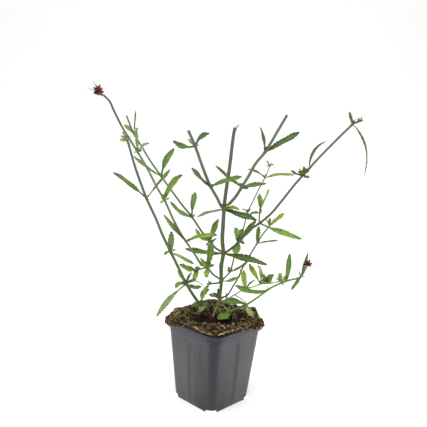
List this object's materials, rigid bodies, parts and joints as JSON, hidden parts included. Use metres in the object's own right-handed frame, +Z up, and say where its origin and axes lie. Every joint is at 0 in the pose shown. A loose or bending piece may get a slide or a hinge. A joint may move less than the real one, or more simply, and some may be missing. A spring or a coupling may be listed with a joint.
{
  "type": "potted verbena",
  "caption": "Young tall verbena with square stems, toothed leaves and small maroon flower heads, growing in peat in a square plastic nursery pot.",
  "frame": {"origin": "middle of the pot's flat underside", "axes": "+Z up along the main stem; +X to the plant's right and +Y to its back, with one corner of the pot towards -Y"},
  "size_m": [0.2829, 0.1647, 0.37],
  "materials": {
    "pot_plastic": "satin anthracite polypropylene",
    "peat": "loose fibrous peat, matte",
    "foliage": "soft green leaf and stem, slightly rough and matte",
    "calyx": "dark maroon, finely hairy",
    "bud": "dusty pink, finely hairy"
  },
  "bodies": {
    "root": {"pot": "pot_plastic", "soil": "peat", "stem_main": "foliage", "stem_basal_left": "foliage", "stem_trailing": "foliage", "stem_basal_right": "foliage", "stem_back": "foliage", "branch_low_left": "foliage", "branch_low_right": "foliage", "branch_mid_left": "foliage", "branch_mid_right": "foliage", "branch_top_left": "foliage", "branch_top_right": "foliage", "flower_head_left": "calyx", "flower_head_right": "calyx", "flower_buds_tip": "bud"}
  },
  "joints": []
}
